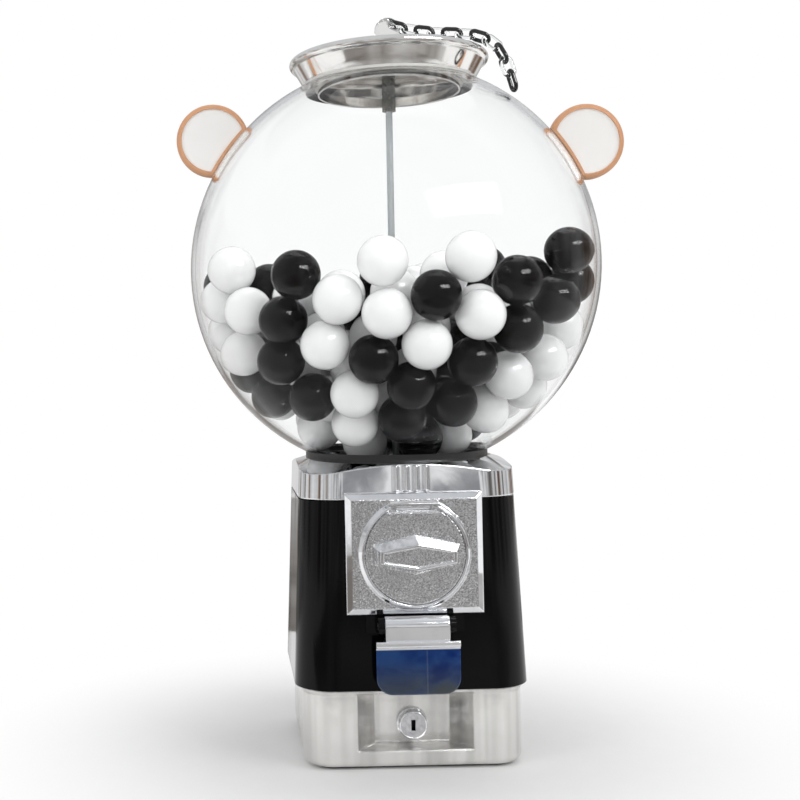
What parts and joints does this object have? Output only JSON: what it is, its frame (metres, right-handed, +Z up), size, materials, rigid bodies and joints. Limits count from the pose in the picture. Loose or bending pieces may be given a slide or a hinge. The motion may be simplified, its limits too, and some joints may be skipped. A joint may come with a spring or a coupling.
{
  "type": "gumball machine",
  "caption": "Counter-top gumball machine: clear round globe of balls between chrome lid and collar, black body with coin plate, turn handle and chute door, metal base with lock.",
  "frame": {"origin": "on the ground under the globe's axis, the middle of the base's underside", "axes": "+Z up along the globe's axis, -Y towards the front with the coin plate, +X to the right seen from the front"},
  "size_m": [0.3879, 0.36, 0.6458],
  "materials": {
    "base_metal": "satin",
    "black_enamel": "gloss",
    "chrome": "polished",
    "plain_steel": "brushed",
    "bearing_brass": "satin",
    "clear_globe": "clear gloss",
    "clear_plastic": "clear gloss",
    "black_plastic": "gloss",
    "black_rubber": "matte",
    "white_satin": "satin",
    "tan_satin": "satin",
    "black_gum": "gloss",
    "white_gum": "gloss"
  },
  "bodies": {
    "cabinet": {"base_housing": "base_metal", "foot_pad": "black_rubber", "lock_case": "chrome", "lock_nut": "plain_steel", "lock_strike": "plain_steel", "body_shell": "black_enamel", "body_floor": "plain_steel", "collar_screws": "plain_steel", "bridge_screws": "plain_steel", "collar": "chrome", "globe": "clear_globe", "globe_gasket": "black_rubber", "hopper_floor": "plain_steel", "hopper_bridge": "plain_steel", "center_rod": "plain_steel", "rod_washer": "plain_steel", "rod_nut": "plain_steel", "ball_guard": "plain_steel", "coin_plate": "chrome", "plate_screws": "plain_steel", "mechanism_screws": "plain_steel", "mechanism_spacers": "bearing_brass", "mechanism_back_plate": "plain_steel", "shaft_bush": "bearing_brass", "coin_guide": "plain_steel", "chute": "black_plastic", "door_pin": "plain_steel", "door_brackets": "black_enamel", "ear_left_face": "white_satin", "ear_left_rim": "tan_satin", "ear_left_pad": "clear_plastic", "ear_right_face": "white_satin", "ear_right_rim": "tan_satin", "ear_right_pad": "clear_plastic", "gumballs_black": "black_gum", "gumballs_white": "white_gum"},
    "handle": {"turn_handle": "chrome", "handle_shaft": "plain_steel", "coin_carrier": "plain_steel", "star_gear": "bearing_brass", "shaft_nut": "plain_steel"},
    "wheel": {"dispensing_wheel": "black_plastic", "wheel_pegs": "plain_steel", "wheel_bush": "bearing_brass", "pocket_gumballs": "white_gum"},
    "door": {"chute_door": "chrome"},
    "lock": {"lock_plug": "chrome", "lock_cam": "plain_steel", "lock_cam_screw": "plain_steel"},
    "lid": {"lid": "chrome", "lid_gasket": "clear_plastic", "lid_hub": "chrome", "lid_sleeve": "chrome"},
    "knob": {"knob": "clear_plastic", "knob_stud": "plain_steel", "chain_black_links": "black_plastic", "chain_clear_links": "clear_plastic"}
  },
  "joints": [
    {"name": "wheel_turn", "type": "hinge", "parent": "cabinet", "child": "wheel", "pos_m": [0, 0, 0.215], "axis": [0, 0, 1], "continuous": true},
    {"name": "handle_turn", "type": "hinge", "parent": "cabinet", "child": "handle", "pos_m": [0, -0.1055, 0.18138], "axis": [0, 1, 0], "continuous": true},
    {"name": "door_swing", "type": "hinge", "parent": "cabinet", "child": "door", "pos_m": [0, -0.10671, 0.123], "axis": [-1, 0, 0], "range_deg": [0, 75]},
    {"name": "lock_turn", "type": "hinge", "parent": "cabinet", "child": "lock", "pos_m": [0, -0.0675, 0.0335], "axis": [0, -1, 0], "range_deg": [0, 90]},
    {"name": "lid_lift", "type": "slide", "parent": "cabinet", "child": "lid", "axis": [0, 0, 1], "range_m": [0, 0.15]},
    {"name": "knob_turn", "type": "hinge", "parent": "lid", "child": "knob", "pos_m": [0, 0, 0.64], "axis": [0, 0, 1], "range_deg": [0, 720]}
  ],
  "couplings": [
    {"joint": "handle_turn", "follows": "wheel_turn", "ratio": 6}
  ]
}
